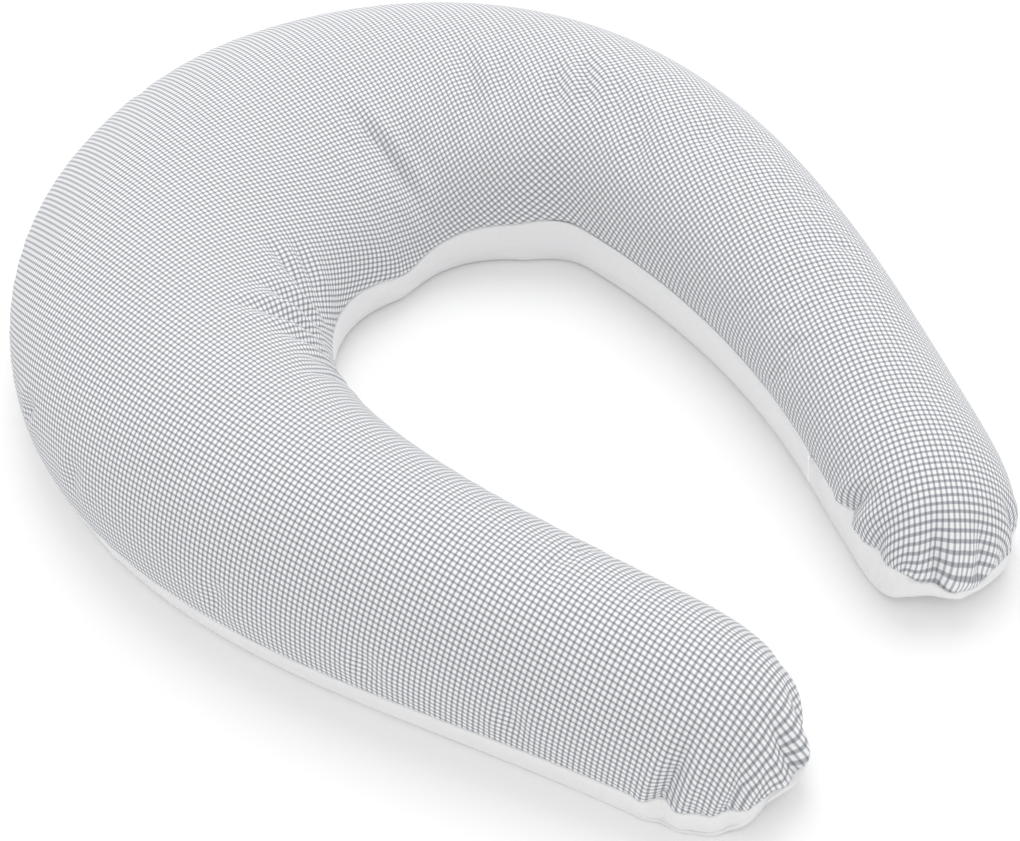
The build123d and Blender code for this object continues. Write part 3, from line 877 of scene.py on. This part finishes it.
def finishMaterial(name, look):                  # a smooth, hard or fibrous finish with an uneven tone
    material, tree = nodeTree(name)
    place = node(tree, "ShaderNodeTexCoord").outputs["Object"]
    group = node(tree, "ShaderNodeGroup", {"Scale": look["scale"], "Amount": look["amount"]},
                 node_tree=unevenFinish)
    tree.links.new(place, group.inputs["Place"])
    shader = node(tree, "ShaderNodeBsdfPrincipled", {
        "Specular IOR Level": look["specular"], "Coat Weight": look["coat"], "Coat Roughness": 0.25,
        "Sheen Weight": look["sheen"],
    })
    tint = node(tree, "ShaderNodeMix", {"Factor": 1.0, "A": (*look["colour"], 1)}, data_type="RGBA",
                blend_type="MULTIPLY")
    tree.links.new(group.outputs["Tone"], tint.inputs["B"])
    tree.links.new(tint.outputs["Result"], shader.inputs["Base Color"])
    rough = maths(tree, "MULTIPLY", group.outputs["Mask"], look["rough"] * 2, True)
    tree.links.new(rough, shader.inputs["Roughness"])
    bump = node(tree, "ShaderNodeBump", {"Strength": look["bump"], "Distance": 0.0002})
    tree.links.new(group.outputs["Mask"], bump.inputs["Height"])
    tree.links.new(bump.outputs["Normal"], shader.inputs["Normal"])
    out = node(tree, "ShaderNodeOutputMaterial")
    tree.links.new(shader.outputs[0], out.inputs["Surface"])
    return material


finishes = {
    "zipCoil": {
        "colour": (0.87, 0.87, 0.875), "rough": 0.42, "specular": 0.5, "coat": 0.1, "sheen": 0.0,
        "bump": 0.1, "scale": 900.0, "amount": 0.12,
    },
    "whiteEnamel": {
        "colour": (0.90, 0.90, 0.90), "rough": 0.32, "specular": 0.5, "coat": 0.5, "sheen": 0.0,
        "bump": 0.08, "scale": 700.0, "amount": 0.10,
    },
    "sewingThread": {
        "colour": (0.90, 0.90, 0.90), "rough": 0.7, "specular": 0.3, "coat": 0.0, "sheen": 0.3,
        "bump": 0.5, "scale": 4000.0, "amount": 0.5,
    },
    "labelSatin": {
        "colour": (0.88, 0.88, 0.87), "rough": 0.40, "specular": 0.5, "coat": 0.0, "sheen": 0.3,
        "bump": 0.3, "scale": 1800.0, "amount": 0.3,
    },
    "polyesterFibre": {
        "colour": (0.90, 0.90, 0.90), "rough": 0.8, "specular": 0.3, "coat": 0.0, "sheen": 0.4,
        "bump": 0.9, "scale": 160.0, "amount": 0.6,
    },
}
finish = {name: finishMaterial(name, look) for name, look in finishes.items()}
casingLook = {
    "colour": (0.84, 0.84, 0.84), "threads": 2200, "uneven": 0.35, "rough": 0.9, "sheen": 0.1,
    "specular": 0.2, "bump": 0.5,
}
tapeLook = {
    "colour": (0.87, 0.87, 0.875), "threads": 3200, "uneven": 0.2, "rough": 0.8, "sheen": 0.1,
    "specular": 0.25, "bump": 0.7,
}

ginghamCloth = clothMaterial("ginghamCotton", gingham, True, ginghamColour)
whiteCloth = clothMaterial("whiteCotton", whiteCotton)
casingCloth = clothMaterial("casingCloth", casingLook)
tapeCloth = clothMaterial("zipTape", tapeLook, False)
for piece, material in ((coverTop, ginghamCloth), (coverBottom, whiteCloth), (casingTop, casingCloth),
                        (casingBottom, casingCloth), (stuffing, finish["polyesterFibre"])):
    dress(piece, material)
nodeFinish = {
    "zip_slider": finish["whiteEnamel"], "zip_pull_tab": finish["whiteEnamel"],
    "care_label": finish["labelSatin"], "zip_tape_upper": tapeCloth, "zip_tape_lower": tapeCloth,
}
for name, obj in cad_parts.items():
    dress(obj, nodeFinish.get(name, finish["zipCoil"]))

print("stitches and zip teeth")
stitches = {
    "seam": {"spacing": 0.0028, "size": (0.0026, 0.0007, 0.0007), "unevenness": 0.06, "seed": 3,
             "inset": 0.0019},
    "casingSeam": {"spacing": 0.0034, "size": (0.0031, 0.0006, 0.0006), "unevenness": 0.06, "seed": 4},
    "byHand": {"spacing": 0.0048, "size": (0.0042, 0.0007, 0.0007), "unevenness": 0.18, "seed": 5},
    "zip": {"spacing": 0.0026, "size": (0.0023, 0.00045, 0.00045), "unevenness": 0.06, "seed": 6},
    "teeth": {"spacing": 0.0012, "size": (0.0008, 0.0017, 0.0016), "unevenness": 0.0, "seed": 7},
}
partsAlongPath = partsTree()
thread = finish["sewingThread"]

zipRows = np.flatnonzero((fineS > zipper["start"]) & (fineS < zipper["end"]))
seamRoute = seamRing(topFine, stitches["seam"]["inset"], zipRows[-1], zipRows[0])
seamThread = alongPaths("coverSeamStitches", [seamRoute], stitches["seam"], thread)

towardsLine = np.concatenate([fineSec["side"][::2], 0 * rowS[:, None]], -1) * casing["threadInset"]
outerRoute, innerRoute = casingTopGrid[:, -1] + towardsLine, casingTopGrid[:, 0] - towardsLine
shut = np.abs(rowS) < casing["leftOpen"]
firstShut, lastShut = np.flatnonzero(shut)[[0, -1]]
casingRoutes = [innerRoute[1:-1], outerRoute[1:firstShut + 1], outerRoute[lastShut:-1]]
casingThread = alongPaths("casingSeamStitches", casingRoutes, stitches["casingSeam"], thread)
closingThread = alongPaths("casingClosingStitches", [outerRoute[shut]], stitches["byHand"], thread)

across = reachAcross(bottomFine[zipRows]).mean(0)
column = int(np.argmin(np.abs(across - zipper["stitchLine"])))
lowerRoute = bottomFine[zipRows, column] - normalsOf(bottomFine)[zipRows, column] * zipper["stitchLift"]
lowerStitches = alongPaths("zipStitchesLower", [lowerRoute], stitches["zip"], thread)
upperRoute = zipPath(zipper["stitchDepth"], zipper["stitchLine"], zipper["tapeDegrees"])
upperStitches = alongPaths("zipStitchesUpper", [upperRoute], stitches["zip"], thread)
coils = []
for name, lift in (("zipCoilUpper", zipper["coilLift"]), ("zipCoilLower", -zipper["coilLift"])):
    coilRoute = zipPath(zipper["coilDepth"], lift, zipper["coilDegrees"])
    coils.append(alongPaths(name, [coilRoute], stitches["teeth"], finish["zipCoil"]))

# what shows of each piece, and what it stands for
for piece, slot, cadNode in (
    (coverTop, "gingham_cotton", "cover_top_panel"),
    (coverBottom, "white_cotton", "cover_bottom_panel"),
    (casingTop, "casing_cloth", "casing_top_panel"),
    (casingBottom, "casing_cloth", "casing_bottom_panel"),
    (stuffing, "fibre", "fibre_filling"),
    (seamThread, "thread", "cover_seam_thread"),
    (casingThread, "thread", "casing_seam_thread"),
    (closingThread, "thread", "casing_closing_thread"),
    (lowerStitches, "thread", "zip_stitching_lower"),
    (upperStitches, "thread", "zip_stitching_upper"),
    (coils[0], "zip_coil", "zip_coil_upper"),
    (coils[1], "zip_coil", "zip_coil_lower"),
):
    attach(piece, "pillow")
    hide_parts(cadNode)

# floor, light and camera
studio = {
    "distance": 1.742, "lens": 76.73, "azimuth": -39.162, "elevation": 47.44, "roll": -5.848,
    "target": (-0.0106, -0.0400, 0.0),
    "floorSize": 6.0, "floorHeight": -0.0002, "floorColour": (0.93, 0.93, 0.93, 1), "floorRough": 0.9,
    "sky": 0.93,
    "keyPlace": (1.1, 1.0, 3.0), "keySize": 2.0, "keyPower": 36,
}


def makeFloor():
    mesh = bpy.data.meshes.new("floor")
    size, height = studio["floorSize"], studio["floorHeight"]
    corners = [(-size, -size, height), (size, -size, height), (size, size, height), (-size, size, height)]
    mesh.from_pydata(corners, [], [(0, 1, 2, 3)])
    floor = bpy.data.objects.new("floor", mesh)
    scene.collection.objects.link(floor)
    material, tree = nodeTree("palePaper")
    shader = node(tree, "ShaderNodeBsdfPrincipled", {
        "Base Color": studio["floorColour"], "Roughness": studio["floorRough"],
    })
    out = node(tree, "ShaderNodeOutputMaterial")
    tree.links.new(shader.outputs[0], out.inputs["Surface"])
    dress(floor, material)


def makeLight():
    light = bpy.data.lights.new("key", "AREA")
    light.shape = "DISK"
    light.size = studio["keySize"]
    light.energy = studio["keyPower"]
    obj = bpy.data.objects.new("key", light)
    obj.location = studio["keyPlace"]
    obj.rotation_euler = (-Vector(studio["keyPlace"])).to_track_quat("-Z", "Y").to_euler()
    scene.collection.objects.link(obj)


def makeWorld():
    world = bpy.data.worlds.new("studio")
    world.use_nodes = True
    background = world.node_tree.nodes["Background"]
    background.inputs["Color"].default_value = (1, 1, 1, 1)
    background.inputs["Strength"].default_value = studio["sky"]
    scene.world = world


def makeCamera():
    a, e, roll = (math.radians(studio[k]) for k in ("azimuth", "elevation", "roll"))
    back = Vector((math.sin(a) * math.cos(e), -math.cos(a) * math.cos(e), math.sin(e)))
    right = (-back).cross(Vector((0, 0, 1))).normalized()
    up = right.cross(-back)
    tiltedRight = right * math.cos(roll) + up * math.sin(roll)
    tiltedUp = up * math.cos(roll) - right * math.sin(roll)
    data = bpy.data.cameras.new("camera")
    data.lens = studio["lens"]
    data.sensor_width = 36
    camera = bpy.data.objects.new("camera", data)
    turned = Matrix((tiltedRight, tiltedUp, back)).transposed()
    place = Vector(studio["target"]) + back * studio["distance"]
    camera.matrix_world = Matrix.Translation(place) @ turned.to_4x4()
    scene.collection.objects.link(camera)
    scene.camera = camera


scene.view_settings.view_transform = "Standard"
makeFloor()
makeWorld()
makeCamera()
makeLight()
